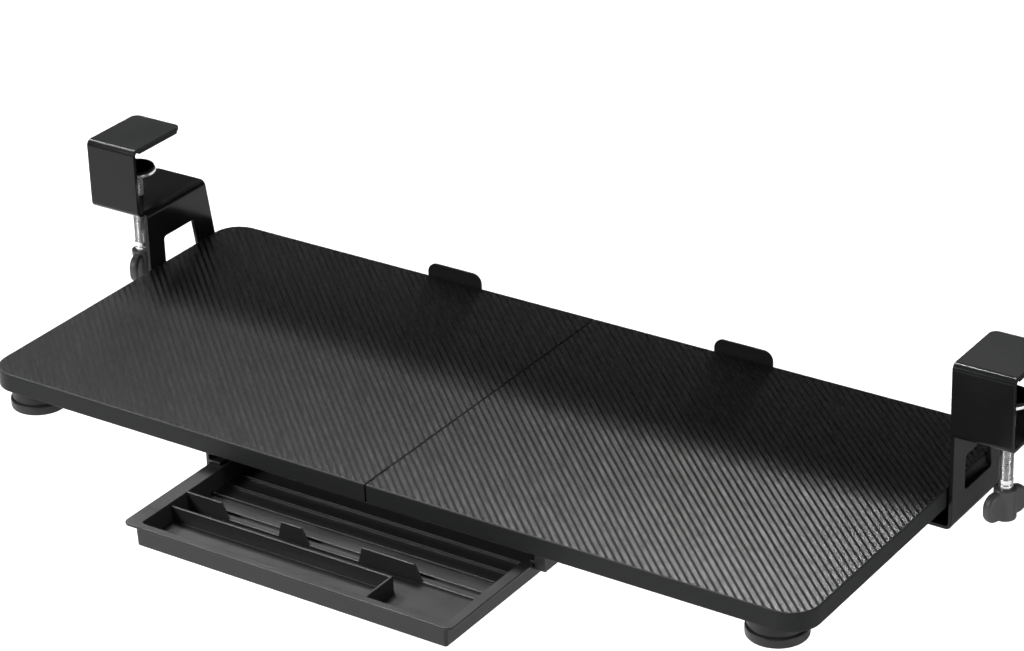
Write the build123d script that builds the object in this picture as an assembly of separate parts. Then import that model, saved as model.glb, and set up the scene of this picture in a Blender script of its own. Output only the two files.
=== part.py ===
from build123d import *
import math
import os

# Keyboard tray that clamps under a desk, with a pull-out tray and a shallow pencil drawer.
# Millimetres. +X is to the user's right, +Y is away from the user and +Z is up.
# The origin is midway between the clamps, on the desk's top face where its front edge stands.
# The tray and the drawer are pulled out, and the clamps hold a desk of the stated thickness.

# Tray: two equal boards side by side
tray_width = 700.0
tray_depth = 300.0
board_thickness = 15.0
board_corner_radius = 22.0
board_edge_round = 1.2
seam_gap = 0.3
tray_reach = 195.0
keyboard_room = 44.4

# Dowels that line the two boards up in the seam
dowel_radius = 4.0
dowel_length = 40.0
dowel_fit = 0.1
dowel_end_gap = 0.3
dowel_place_shares = (0.13, 0.5, 0.87)

# Clamp bracket, bent from one sheet
sheet = 3.0
bend_inside_radius = 2.0
clamp_width = 47.0
jaw_depth = 57.4
jaw_corner_radius = 6.0
plate_corner_radius = 4.0
throat = 49.0
arm_depth = 78.0
side_clearance = 2.0
side_setback = 4.0
side_lean = 12.7
flange_reach = 52.0
window_front_margin = 19.0
window_back_margin = 22.5
window_top_margin = 25.0
window_bottom_margin = 23.2
window_corner_radius = 2.5

# Anti-slip pad under the top jaw plate
jaw_pad_thickness = 2.5
jaw_pad_inset = 1.0
jaw_pad_front_gap = 6.0

# Clamp screw, its nut and its swivelling disc
desk_thickness = 25.0
screw_radius = 5.0
screw_side_offset = 27.5
screw_back_offset = 30.0
screw_fit = 0.05
screw_tip_radius = 4.0
screw_exposed = 45.0
screw_in_knob = 18.0
collar_radius = 5.3
collar_height = 7.5
nut_across_flats = 17.0
nut_height = 5.0
pressure_pad_thickness = 2.0
pressure_pad_radius = 15.0
disc_thickness = 3.0
disc_radius = 16.0
disc_boss_radius = 8.0
disc_boss_height = 4.0
disc_web = 2.0
tip_gap = 0.3

# Wing knob
hub_radius = 8.5
hub_height = 24.0
wing_span = 39.0
wing_height = 22.5
wing_drop = 1.5
wing_thickness = 8.0
wing_top_radius = 10.0
wing_bottom_radius = 8.0
wing_edge_round = 2.5
hub_edge_round = 1.2
left_knob_turn_degrees = 103.0
right_knob_turn_degrees = 71.0

# Slide: a rail under the tray runs in a lined channel on the bracket's flange
channel_width = 24.0
channel_wall = 1.5
channel_slot = 12.0
channel_end_margin = 1.0
liner_wall = 1.0
liner_side_fit = 0.05
liner_end_margin = 1.0
run_clearance = 0.3
rail_wall = 1.5
rail_web_width = 9.0
rail_head_width = 40.0
rail_head_clearance = 4.7
rail_from_tray_end = 32.0
rail_tail = 0.5
bumper_length = 4.0
bumper_clearance = 0.5

# Screws: a pan head and a plain shank in a hole with a small fit
wood_screw_radius = 1.75
wood_screw_length = 11.0
wood_head_radius = 3.2
wood_head_height = 2.0
machine_screw_radius = 2.0
machine_head_radius = 3.5
machine_head_height = 2.2
head_edge_round = 0.6
screw_hole_fit = 0.1
screw_end_gap = 0.3
rail_screw_side_offset = 15.5
rail_screw_place_shares = (0.06, 0.5, 0.94)
channel_screw_place_shares = (0.22, 0.78)

# Steel plates that join the boards under the seam
joiner_width = 90.0
joiner_depth = 30.0
joiner_thickness = 2.0
joiner_corner_radius = 5.0
joiner_place_shares = (0.2, 0.84)
joiner_screw_width = 66.0

# Rear stops behind the tray's back edge
stop_width = 50.0
stop_thickness = 2.0
stop_rise = 10.5
stop_leg = 28.0
stop_corner_radius = 8.0
stop_from_middle = 130.0
stop_screw_spacing = 30.0
stop_screw_back_offset = 18.0

# Round feet under the front corners
foot_radius = 21.9
foot_height = 15.6
foot_disc_height = 7.4
foot_top_radius = 19.2
foot_neck_radius = 20.6
foot_groove_radius = 19.6
foot_groove_height = 1.4
foot_edge_round = 1.4
foot_from_side = 32.0
foot_from_front = 21.5
foot_stop_clearance = 4.5
foot_recess_radius = 5.0
foot_recess_depth = 6.0
foot_pad_under_head = 1.5

# Pencil drawer: its rim reaches further out on the left than on the right
drawer_body_width = 264.8
drawer_depth = 200.0
drawer_reach = 95.0
drawer_travel = 100.0
drawer_under_board = 10.0
drawer_height = 16.0
rim_thickness = 2.0
rim_corner_radius = 5.5
rim_left_lip = 10.4
rim_right_lip = 4.0
rim_front_lip = 1.0
drawer_wall = 2.0
drawer_right_wall = 4.5
drawer_front_wall = 5.0
drawer_floor = 1.8
drawer_corner_radius = 2.0
drawer_room_radius = 2.5
drawer_draft = 0.6
divider_thickness = 2.0
divider_below_rim = 2.5
pen_room = 38.5
divider_length = 192.5
ledge_from_front = 57.0
ledge_height = 2.4
floor_rib_spacing = 15.8
floor_rib_thickness = 1.4
floor_rib_first = 66.5
floor_rib_count = 7
tab_thickness = 1.8
tab_left_slope = 4.0
tab_right_slope = 8.0
tab_top_shares = ((-1.0, -0.76), (-0.355, -0.22), (0.175, 0.515))

# Runners that carry the drawer's rim
runner_wall = 2.5
runner_lip = 2.0
runner_clearance = 0.3
runner_side_gap = 1.0
runner_body_gap = 1.2
runner_flange = 14.0
runner_flange_thickness = 2.0
runner_from_front = 5.0
runner_screw_side_offset = 8.5
runner_screw_place_shares = (0.12, 0.5, 0.88)

# Everything that cuts runs past the faces by this much
overrun = 2.0

# Heights
jaw_top = jaw_pad_thickness + sheet
arm_top = -throat
arm_bottom = arm_top - sheet
board_top = arm_bottom - keyboard_room
board_bottom = board_top - board_thickness
liner_room = 2 * liner_wall + 2 * run_clearance + rail_wall
channel_height = channel_wall + liner_room + channel_wall
rail_stack = channel_height + rail_head_clearance + rail_wall
flange_top = board_bottom - rail_stack
flange_bottom = flange_top - sheet

# Places along Y
tray_front = -tray_reach
tray_back = tray_front + tray_depth
side_front = side_setback
side_back_low = arm_depth + side_lean
channel_front = side_front + channel_end_margin
channel_back = side_back_low - channel_end_margin
foot_back = tray_front + foot_from_front + foot_radius
tray_travel = side_front - foot_stop_clearance - foot_back
rail_back = channel_back + rail_tail
rail_front = rail_back - rail_tail - (channel_back - channel_front) - tray_travel

# Places along X, on the right side
tray_end = tray_width / 2
side_inner = tray_end + side_clearance
clamp_inner = side_inner + sheet
clamp_outer = clamp_inner + clamp_width
flange_inner = side_inner - flange_reach
rail_middle = tray_end - rail_from_tray_end
screw_x = clamp_inner + screw_side_offset
screw_y = screw_back_offset


def block(x0, x1, y0, y1, z0, z1):
    """A box between two corners."""
    middle = Pos((x0 + x1) / 2, (y0 + y1) / 2, (z0 + z1) / 2)
    return middle * Box(x1 - x0, y1 - y0, z1 - z0)


def rod(x, y, z0, z1, radius):
    """An upright cylinder."""
    return Pos(x, y, (z0 + z1) / 2) * Cylinder(radius, z1 - z0)


def outline(points, radii):
    """A closed face with a corner radius, or a list of them, at its points."""
    return make_face(FilletPolyline(*points, radius=radii, close=True))


def prism_x(face, x0, x1):
    """A face drawn in Y and Z, stretched from x0 to x1."""
    return extrude(Plane.YZ.offset(x0) * face, amount=x1 - x0)


def prism_y(face, y0, y1):
    """A face drawn in X and Z, stretched from y0 to y1."""
    return extrude(Plane.XZ.offset(-y0) * face, amount=y0 - y1)


def prism_z(face, z0, z1):
    """A face drawn in X and Y, stretched from z0 to z1."""
    return extrude(Plane.XY.offset(z0) * face, amount=z1 - z0)


def bent_sheet(points, thickness, inside_radius):
    """The section of a bent sheet. The points run along one face, and the sheet lies to their left."""
    near = [Vector(*point) for point in points]
    ways = [(b - a).normalized() for a, b in zip(near, near[1:])]
    lefts = [Vector(-way.Y, way.X) for way in ways]
    far = [near[0] + lefts[0] * thickness]
    near_radii = [0]
    far_radii = [0]
    for point, way, onward, left, next_left in zip(near[1:], ways, ways[1:], lefts, lefts[1:]):
        far.append(point + (left + next_left) * (thickness / (1 + left.dot(next_left))))
        turns_left = way.X * onward.Y > way.Y * onward.X
        outside_radius = inside_radius + thickness
        near_radii.append(outside_radius if turns_left else inside_radius)
        far_radii.append(inside_radius if turns_left else outside_radius)
    far.append(near[-1] + lefts[-1] * thickness)
    near_radii.append(0)
    far_radii.append(0)
    return outline(near + far[::-1], near_radii + far_radii[::-1])


def at_share(start, end, share):
    """The place that is a share of the way from start to end."""
    return start + (end - start) * share


def pan_screw(x, y, seat, length, radius, head_radius, head_height):
    """A screw driven upwards, with its head under the seat."""
    shank = rod(x, y, seat, seat + length, radius)
    head = rod(x, y, seat - head_height, seat, head_radius)
    rim = head.edges().filter_by(GeomType.CIRCLE).sort_by(Axis.Z)[0]
    return fillet(rim, head_edge_round) + shank


def wood_screws(places, seat):
    """Separate wood screws at (x, y) places, with their heads under the seat."""
    size = (wood_screw_length, wood_screw_radius, wood_head_radius, wood_head_height)
    return [pan_screw(x, y, seat, *size) for x, y in places]


def wood_screw_holes(places, seat):
    """The holes that wood screws leave in what they hold and in the board above."""
    radius = wood_screw_radius + screw_hole_fit
    end = seat + wood_screw_length + screw_end_gap
    return [rod(x, y, seat - overrun, end, radius) for x, y in places]


def mirrored(places):
    """The same (x, y) places on both sides of the middle."""
    return [(sign * x, y) for sign in (-1, 1) for x, y in places]


def side_back_at(z):
    """Where the side plate's sloping back edge is at a height."""
    return at_share(arm_depth, side_back_low, (z - arm_bottom) / (flange_bottom - arm_bottom))


def channel_screw_places():
    """Screws up through the flange into the right channel."""
    return [(rail_middle, at_share(channel_front, channel_back, share))
            for share in channel_screw_place_shares]


def clamp_bracket():
    """Right bracket: top jaw plate, front plate, arm, side plate with a window, and flange."""
    c_path = [(jaw_depth, jaw_top), (-sheet, jaw_top), (-sheet, arm_bottom), (arm_depth, arm_bottom)]
    c_part = prism_x(bent_sheet(c_path, sheet, bend_inside_radius), clamp_inner, clamp_outer)
    upright_edges = c_part.edges().filter_by(Axis.Z)
    jaw_corners = [edge for edge in upright_edges if abs(edge.center().Y - jaw_depth) < sheet]
    c_part = fillet(jaw_corners, jaw_corner_radius)
    arm_corner = c_part.edges().filter_by(Axis.Z).group_by(Axis.Y)[-1].sort_by(Axis.X)[-1]
    c_part = fillet(arm_corner, plate_corner_radius)
    side_start = clamp_inner + bend_inside_radius + sheet
    c_part -= block(clamp_inner - overrun, side_start, side_front, arm_depth + overrun,
                    arm_bottom - overrun, arm_top + overrun)

    side_path = [(side_start, arm_top), (side_inner, arm_top), (side_inner, flange_top),
                 (flange_inner, flange_top)]
    side_section = bent_sheet(side_path, sheet, bend_inside_radius)
    side_part = prism_y(side_section, side_front, side_back_low)
    behind = side_back_low + overrun
    above = arm_top + overrun
    below = flange_bottom - overrun
    slope = [(arm_depth, above), (behind, above), (behind, below), (side_back_low, below),
             (side_back_low, flange_bottom), (arm_depth, arm_bottom)]
    side_part -= prism_x(outline(slope, 0), flange_inner - overrun, clamp_outer + overrun)
    flange_corners = [edge for edge in side_part.edges().group_by(Axis.X)[0] if edge.length < 2 * sheet]
    side_part = fillet(flange_corners, plate_corner_radius)

    window_top = arm_bottom - window_top_margin
    window_bottom = flange_bottom + window_bottom_margin
    window_front = side_front + window_front_margin
    window = [(window_front, window_top),
              (side_back_at(window_top) - window_back_margin, window_top),
              (side_back_at(window_bottom) - window_back_margin, window_bottom),
              (window_front, window_bottom)]
    side_part -= prism_x(outline(window, window_corner_radius), side_inner - overrun, clamp_inner + overrun)

    bracket = c_part + side_part
    bracket -= rod(screw_x, screw_y, arm_bottom - overrun, arm_top + overrun, screw_radius + screw_fit)
    for x, y in channel_screw_places():
        hole_radius = machine_screw_radius + screw_hole_fit
        bracket -= rod(x, y, flange_bottom - overrun, flange_top + overrun, hole_radius)
    return bracket


def jaw_pad():
    """Right anti-slip pad, glued under the top jaw plate."""
    pad = block(clamp_inner + jaw_pad_inset, clamp_outer - jaw_pad_inset,
                jaw_pad_front_gap, jaw_depth - jaw_pad_inset, 0, jaw_pad_thickness)
    corners = pad.edges().filter_by(Axis.Z).group_by(Axis.Y)[-1]
    return fillet(corners, jaw_corner_radius - jaw_pad_inset)


def clamp_nut():
    """Right nut, welded under the arm round the screw."""
    flats = RegularPolygon(nut_across_flats / 2, 6, major_radius=False)
    nut_bottom = arm_bottom - nut_height
    nut = Pos(screw_x, screw_y) * prism_z(flats, nut_bottom, arm_bottom)
    return nut - rod(screw_x, screw_y, nut_bottom - overrun, arm_bottom + overrun,
                     screw_radius + screw_fit)


def pressure_pad():
    """Right rubber face that presses on the desk from below."""
    return rod(screw_x, screw_y, -desk_thickness - pressure_pad_thickness, -desk_thickness,
               pressure_pad_radius)


def pressure_disc():
    """Right steel disc that carries the rubber face and swivels on the screw's tip."""
    disc_top = -desk_thickness - pressure_pad_thickness
    disc_bottom = disc_top - disc_thickness
    boss_bottom = disc_bottom - disc_boss_height
    disc = rod(screw_x, screw_y, disc_bottom, disc_top, disc_radius)
    disc += rod(screw_x, screw_y, boss_bottom, disc_bottom, disc_boss_radius)
    return disc - rod(screw_x, screw_y, boss_bottom - overrun, disc_top - disc_web,
                      screw_tip_radius + screw_fit)


def screw_levels():
    """Heights of the screw's tip, shoulder, the knob's top and the rod's end in the knob."""
    disc_top = -desk_thickness - pressure_pad_thickness
    tip = disc_top - disc_web - tip_gap
    shoulder = disc_top - disc_thickness - disc_boss_height - tip_gap
    knob_top = arm_bottom - screw_exposed
    return tip, shoulder, knob_top, knob_top - screw_in_knob


def clamp_screw():
    """Right threaded rod, with its tip in the disc and its lower end in the knob."""
    tip, shoulder, knob_top, end = screw_levels()
    screw = rod(screw_x, screw_y, end, shoulder, screw_radius)
    screw += rod(screw_x, screw_y, shoulder, tip, screw_tip_radius)
    return screw + rod(screw_x, screw_y, knob_top, knob_top + collar_height, collar_radius)


def wing_knob(turn):
    """Right knob with two lobes, turned about the screw by an angle in degrees."""
    tip, shoulder, knob_top, end = screw_levels()
    wing_top = -wing_drop
    wing_bottom = wing_top - wing_height
    corners = [(-wing_span / 2, wing_top), (wing_span / 2, wing_top),
               (wing_span / 2, wing_bottom), (-wing_span / 2, wing_bottom)]
    radii = [wing_top_radius, wing_top_radius, wing_bottom_radius, wing_bottom_radius]
    wing = prism_y(outline(corners, radii), -wing_thickness / 2, wing_thickness / 2)
    flat_faces = wing.faces().filter_by(Axis.Y)
    wing = fillet(flat_faces.edges(), wing_edge_round)
    hub = rod(0, 0, -hub_height, 0, hub_radius)
    hub = fillet(hub.edges().filter_by(GeomType.CIRCLE), hub_edge_round)
    knob = wing + hub
    knob -= rod(0, 0, -screw_in_knob - tip_gap, overrun, screw_radius + screw_fit)
    return Pos(screw_x, screw_y, knob_top) * Rot(0, 0, turn) * knob


def channel_section():
    """Section of the right channel: base, walls and inward lips."""
    half = channel_width / 2
    slot = channel_slot / 2
    base = flange_top
    top = flange_top + channel_height
    points = [(-half, base), (half, base), (half, top), (slot, top), (slot, top - channel_wall),
              (half - channel_wall, top - channel_wall), (half - channel_wall, base + channel_wall),
              (channel_wall - half, base + channel_wall), (channel_wall - half, top - channel_wall),
              (-slot, top - channel_wall), (-slot, top), (-half, top)]
    return outline([(rail_middle + x, z) for x, z in points], 0)


def slide_channel():
    """Right channel, screwed on the bracket's flange."""
    channel = prism_y(channel_section(), channel_front, channel_back)
    for x, y in channel_screw_places():
        channel -= rod(x, y, flange_top - overrun, flange_top + channel_wall + liner_wall / 2,
                       machine_screw_radius + screw_hole_fit)
    return channel


def glide_liner():
    """Right low-friction liner that fills the channel round the rail's foot."""
    half = channel_width / 2 - channel_wall - liner_side_fit
    slot = channel_slot / 2
    base = flange_top + channel_wall
    top = base + liner_room
    points = [(-half, base), (half, base), (half, top), (slot, top), (slot, top - liner_wall),
              (half - liner_wall, top - liner_wall), (half - liner_wall, base + liner_wall),
              (liner_wall - half, base + liner_wall), (liner_wall - half, top - liner_wall),
              (-slot, top - liner_wall), (-slot, top), (-half, top)]
    section = outline([(rail_middle + x, z) for x, z in points], 0)
    return prism_y(section, channel_front + liner_end_margin, channel_back - liner_end_margin)


def channel_screws():
    """All the screws that hold the two channels on the flanges."""
    length = sheet + channel_wall - screw_end_gap
    size = (length, machine_screw_radius, machine_head_radius, machine_head_height)
    return [pan_screw(x, y, flange_bottom, *size) for x, y in mirrored(channel_screw_places())]


def rail_screw_places():
    """Screws beside the right channel, up through the rail's head."""
    return [(rail_middle + sign * rail_screw_side_offset, at_share(rail_front, rail_back, share))
            for share in rail_screw_place_shares for sign in (-1, 1)]


def slide_rail():
    """Right rail: foot in the channel, hollow web and head under the board."""
    foot_half = channel_width / 2 - channel_wall - liner_side_fit - liner_wall - run_clearance
    foot_bottom = flange_top + channel_wall + liner_wall + run_clearance
    foot_top = foot_bottom + rail_wall
    head_bottom = board_bottom - rail_wall
    foot = block(rail_middle - foot_half, rail_middle + foot_half, rail_front, rail_back,
                 foot_bottom, foot_top)
    head = block(rail_middle - rail_head_width / 2, rail_middle + rail_head_width / 2,
                 rail_front, rail_back, head_bottom, board_bottom)
    rail = foot + head
    for sign in (-1, 1):
        outer = sign * rail_web_width / 2
        inner = outer - sign * rail_wall
        rail += block(rail_middle + min(outer, inner), rail_middle + max(outer, inner),
                      rail_front, rail_back, foot_top, head_bottom)
    for hole in wood_screw_holes(rail_screw_places(), head_bottom):
        rail -= hole
    return rail


def rail_bumpers():
    """The soft end stops behind the two rails."""
    top = flange_top + channel_height
    base = flange_top + bumper_clearance
    bumper = block(rail_middle - channel_width / 2, rail_middle + channel_width / 2,
                   rail_back, rail_back + bumper_length, base, top)
    return [bumper, mirror(bumper, about=Plane.YZ)]


def dowel_places():
    """Where the dowels lie along the seam."""
    return [at_share(tray_front, tray_back, share) for share in dowel_place_shares]


def dowel(y, radius, length):
    """A dowel across the seam at mid thickness."""
    middle = Pos(0, y, board_top - board_thickness / 2)
    return middle * Rot(0, 90, 0) * Cylinder(radius, length)


def joiner_screw_places(share):
    """The screws of one joiner plate."""
    y = at_share(tray_front, tray_back, share)
    return [(sign * joiner_screw_width / 2, y) for sign in (-1, 1)]


def joiner_plate(share):
    """A steel plate under the seam."""
    y = at_share(tray_front, tray_back, share)
    face = Pos(0, y) * RectangleRounded(joiner_width, joiner_depth, joiner_corner_radius)
    plate = prism_z(face, board_bottom - joiner_thickness, board_bottom)
    for hole in wood_screw_holes(joiner_screw_places(share), board_bottom - joiner_thickness):
        plate -= hole
    return plate


def stop_screw_places():
    """The screws of the right rear stop."""
    y = tray_back - stop_screw_back_offset
    return [(stop_from_middle + sign * stop_screw_spacing / 2, y) for sign in (-1, 1)]


def rear_stop():
    """Right rear stop: a leg under the board and a tab up behind its back edge."""
    low = board_bottom - stop_thickness
    high = board_top + stop_rise
    back = tray_back + stop_thickness
    path = [(tray_back - stop_leg, low), (back, low), (back, high)]
    section = bent_sheet(path, stop_thickness, board_edge_round)
    start = stop_from_middle - stop_width / 2
    stop = prism_x(section, start, start + stop_width)
    corners = [edge for edge in stop.edges().filter_by(Axis.Y) if edge.center().Z > board_top]
    stop = fillet(corners, stop_corner_radius)
    for hole in wood_screw_holes(stop_screw_places(), low):
        stop -= hole
    return stop


def foot_place():
    """The right foot's middle."""
    return tray_end - foot_from_side, tray_front + foot_from_front


def foot_screw_seat():
    """The height at which the foot screw's head bears."""
    return board_bottom - foot_height + foot_recess_depth


def foot():
    """Right rubber foot: a disc under a grooved neck, with a recess for its screw."""
    disc_bottom = -foot_height
    disc_top = disc_bottom + foot_disc_height
    groove_top = disc_top + foot_groove_height
    points = [(0, disc_bottom), (foot_radius, disc_bottom), (foot_radius, disc_top),
              (foot_groove_radius, disc_top), (foot_groove_radius, groove_top),
              (foot_neck_radius, groove_top), (foot_top_radius, 0), (0, 0)]
    radii = [0, foot_edge_round, foot_edge_round / 2, 0, 0, 0, 0, 0]
    body = revolve(Plane.XZ * outline(points, radii), Axis.Z)
    body -= rod(0, 0, disc_bottom - overrun, disc_bottom + foot_recess_depth, foot_recess_radius)
    body -= rod(0, 0, disc_bottom, overrun, wood_screw_radius + screw_hole_fit)
    x, y = foot_place()
    return Pos(x, y, board_bottom) * body


def drawer_levels():
    """Heights of the rim's top, the floor's top and the drawer's underside."""
    rim_top = board_bottom - drawer_under_board
    bottom = rim_top - drawer_height
    return rim_top, bottom + drawer_floor, bottom


def runner_outer():
    """How far out the runners' webs reach on both sides."""
    return drawer_body_width / 2 + rim_left_lip + runner_side_gap + runner_wall


def runner_inner():
    """How far in the lips of the runners' grooves reach on both sides."""
    return drawer_body_width / 2 + runner_body_gap


def runner_section(rim_lip):
    """Section of a runner, drawn on the right: top flange, web and the groove for the drawer's rim."""
    rim_top, floor_top, bottom = drawer_levels()
    web_inner = drawer_body_width / 2 + rim_lip + runner_side_gap
    web_outer = runner_outer()
    groove_inner = runner_inner()
    groove_top = rim_top + runner_clearance
    groove_bottom = rim_top - rim_thickness - runner_clearance
    flange_end = web_outer + runner_flange
    under_flange = board_bottom - runner_flange_thickness
    points = [(web_inner, board_bottom), (flange_end, board_bottom), (flange_end, under_flange),
              (web_outer, under_flange), (web_outer, groove_bottom - runner_lip),
              (groove_inner, groove_bottom - runner_lip), (groove_inner, groove_bottom),
              (web_inner, groove_bottom), (web_inner, groove_top), (groove_inner, groove_top),
              (groove_inner, groove_top + runner_lip), (web_inner, groove_top + runner_lip)]
    return outline(points, 0)


def runner_ends():
    """Where the runners start and end along Y."""
    start = tray_front + runner_from_front
    drawer_back = tray_front - drawer_reach + drawer_depth
    return start, drawer_back + drawer_travel + runner_clearance + runner_wall


def runner_screw_places():
    """Screws through the right runner's flange."""
    start, end = runner_ends()
    x = runner_outer() + runner_screw_side_offset
    return [(x, at_share(start, end, share)) for share in runner_screw_place_shares]


def drawer_runner(rim_lip):
    """A runner, built on the right, with a closed rear end that stops the drawer."""
    rim_top, floor_top, bottom = drawer_levels()
    start, end = runner_ends()
    runner = prism_y(runner_section(rim_lip), start, end)
    runner += block(runner_inner(), runner_outer(), end - runner_wall, end,
                    rim_top - rim_thickness - runner_clearance - runner_lip,
                    rim_top + runner_clearance + runner_lip)
    for hole in wood_screw_holes(runner_screw_places(), board_bottom - runner_flange_thickness):
        runner -= hole
    return runner


def drawer_shell():
    """The drawer's walls, floor and rim."""
    rim_top, floor_top, bottom = drawer_levels()
    front = tray_front - drawer_reach
    rim_width = drawer_body_width + rim_left_lip + rim_right_lip
    rim_face = RectangleRounded(rim_width, drawer_depth, rim_corner_radius)
    body_foot_width = drawer_body_width - 2 * drawer_draft
    body_foot_depth = drawer_depth - 2 * rim_front_lip - 2 * drawer_draft
    body_face = RectangleRounded(body_foot_width, body_foot_depth, drawer_corner_radius)
    lean = math.degrees(math.atan2(drawer_draft, drawer_height))
    shell = extrude(Plane.XY.offset(bottom) * body_face, amount=drawer_height, taper=-lean)
    rim_shift = (rim_right_lip - rim_left_lip) / 2
    shell += Pos(rim_shift, 0) * prism_z(rim_face, rim_top - rim_thickness, rim_top)
    room_face = RectangleRounded(body_foot_width - drawer_wall - drawer_right_wall,
                                 body_foot_depth - drawer_wall - drawer_front_wall,
                                 drawer_room_radius)
    room = extrude(Plane.XY.offset(floor_top) * room_face, amount=rim_top - floor_top + overrun,
                   taper=-lean)
    shell -= Pos((drawer_wall - drawer_right_wall) / 2, (drawer_front_wall - drawer_wall) / 2) * room
    return Pos(0, front + drawer_depth / 2) * shell


def drawer_inner_half():
    """Half the width that the drawer's dividers and ribs reach into its side walls."""
    return drawer_body_width / 2 - drawer_draft - drawer_wall / 2


def drawer_tab(left_share, right_share, front, top, foot):
    """One raised tab with sloping ends, which rises from the ledge."""
    half = drawer_inner_half()
    left_end = left_share * half
    right_end = right_share * half
    points = [(max(left_end - tab_left_slope, -half), foot), (left_end, top), (right_end, top),
              (right_end + tab_right_slope, foot)]
    return prism_y(outline(points, 0), front, front + tab_thickness)


def drawer():
    """The whole drawer moulding: shell, pen divider, cross divider, ledge, tabs and floor ribs."""
    rim_top, floor_top, bottom = drawer_levels()
    front = tray_front - drawer_reach
    half = drawer_inner_half()
    inside = floor_top - drawer_floor / 2
    divider_top = rim_top - divider_below_rim
    ledge_top = floor_top + ledge_height
    wall_front = front + rim_front_lip + drawer_wall / 2
    divider_start = front + pen_room
    divider_end = divider_length - half
    ledge_start = front + ledge_from_front

    moulding = drawer_shell()
    moulding += block(-half, divider_end, divider_start, divider_start + divider_thickness,
                      inside, divider_top)
    moulding += block(divider_end - divider_thickness, divider_end, wall_front + drawer_draft,
                      divider_start + divider_thickness, inside, divider_top)
    moulding += block(-half, half, ledge_start, ledge_start + tab_thickness, inside, ledge_top)
    for left_share, right_share in tab_top_shares:
        moulding += drawer_tab(left_share, right_share, ledge_start, rim_top, inside)
    for number in range(floor_rib_count):
        y = front + floor_rib_first + number * floor_rib_spacing
        moulding += block(-half, half, y, y + floor_rib_thickness, inside, ledge_top)
    return moulding


def board():
    """Right board, with its holes for dowels and screws."""
    start = seam_gap / 2
    body = block(start, tray_end, tray_front, tray_back, board_bottom, board_top)
    corners = body.edges().filter_by(Axis.Z).group_by(Axis.X)[-1]
    body = fillet(corners, board_corner_radius)
    rims = [edge for edge in body.edges().filter_by(Axis.Z, reverse=True)
            if edge.center().X > start + seam_gap]
    body = fillet(rims, board_edge_round)
    hole_length = dowel_length + 2 * dowel_end_gap
    for y in dowel_places():
        body -= dowel(y, dowel_radius + dowel_fit, hole_length)
    x, y = foot_place()
    holes = wood_screw_holes(rail_screw_places(), board_bottom - rail_wall)
    holes += wood_screw_holes(stop_screw_places(), board_bottom - stop_thickness)
    holes += wood_screw_holes(runner_screw_places(), board_bottom - runner_flange_thickness)
    holes += wood_screw_holes([(x, y)], foot_screw_seat())
    for share in joiner_place_shares:
        right_place = joiner_screw_places(share)[-1:]
        holes += wood_screw_holes(right_place, board_bottom - joiner_thickness)
    for hole in holes:
        body -= hole
    return body


def to_the_left(piece):
    """The mirror image of a right piece."""
    return mirror(piece, about=Plane.YZ)


def on_both_sides(nodes, name, piece):
    """Adds a right piece and its mirror image."""
    nodes["right_" + name] = piece
    nodes["left_" + name] = to_the_left(piece)


def build_nodes():
    """Every named node: a solid, or a group of separate like solids."""
    nodes = {}
    on_both_sides(nodes, "clamp_bracket", clamp_bracket())
    on_both_sides(nodes, "jaw_pad", jaw_pad())
    on_both_sides(nodes, "clamp_nut", clamp_nut())
    on_both_sides(nodes, "clamp_screw", clamp_screw())
    on_both_sides(nodes, "pressure_disc", pressure_disc())
    on_both_sides(nodes, "pressure_pad", pressure_pad())
    nodes["right_wing_knob"] = wing_knob(right_knob_turn_degrees)
    nodes["left_wing_knob"] = Pos(-2 * screw_x, 0) * wing_knob(left_knob_turn_degrees)
    on_both_sides(nodes, "slide_channel", slide_channel())
    on_both_sides(nodes, "glide_liner", glide_liner())
    on_both_sides(nodes, "slide_rail", slide_rail())
    on_both_sides(nodes, "board", board())
    on_both_sides(nodes, "rear_stop", rear_stop())
    on_both_sides(nodes, "foot", foot())
    nodes["right_drawer_runner"] = drawer_runner(rim_right_lip)
    nodes["left_drawer_runner"] = to_the_left(drawer_runner(rim_left_lip))
    nodes["drawer"] = drawer()
    nodes["front_joiner_plate"] = joiner_plate(joiner_place_shares[0])
    nodes["rear_joiner_plate"] = joiner_plate(joiner_place_shares[-1])
    nodes["seam_dowels"] = [dowel(y, dowel_radius, dowel_length) for y in dowel_places()]
    nodes["rail_bumpers"] = rail_bumpers()
    nodes["channel_screws"] = channel_screws()
    nodes["rail_screws"] = wood_screws(mirrored(rail_screw_places()), board_bottom - rail_wall)
    nodes["stop_screws"] = wood_screws(mirrored(stop_screw_places()), board_bottom - stop_thickness)
    nodes["runner_screws"] = wood_screws(mirrored(runner_screw_places()),
                                         board_bottom - runner_flange_thickness)
    nodes["foot_screws"] = wood_screws(mirrored([foot_place()]), foot_screw_seat())
    joiner_places = [place for share in joiner_place_shares for place in joiner_screw_places(share)]
    nodes["joiner_screws"] = wood_screws(joiner_places, board_bottom - joiner_thickness)
    return nodes


def gathered(shape):
    """One solid, or a compound of the separate solids of a group."""
    pieces = shape if isinstance(shape, list) else [shape]
    solids = [solid for piece in pieces for solid in piece.solids()]
    return solids[0] if len(solids) == 1 else Compound(solids)


os.makedirs("parts", exist_ok=True)
for node_name, shape in build_nodes().items():
    whole = gathered(shape)
    whole.label = node_name
    export_step(whole, os.path.join("parts", node_name + ".step"))
    print(node_name, round(whole.volume))
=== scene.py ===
"""Looks of the clamp-on keyboard tray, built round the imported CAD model.

Every size in a class is in millimetres and in the CAD frame: +X to the user's right, +Y away from
the user, +Z up, with the origin at the front edge of the top face that the clamps hold.
"""
import logging
from dataclasses import dataclass
from enum import Enum
from math import cos, pi, radians, sin
from typing import Callable, Sequence

import bmesh
import bpy
from mathutils import Matrix, Vector


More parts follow.
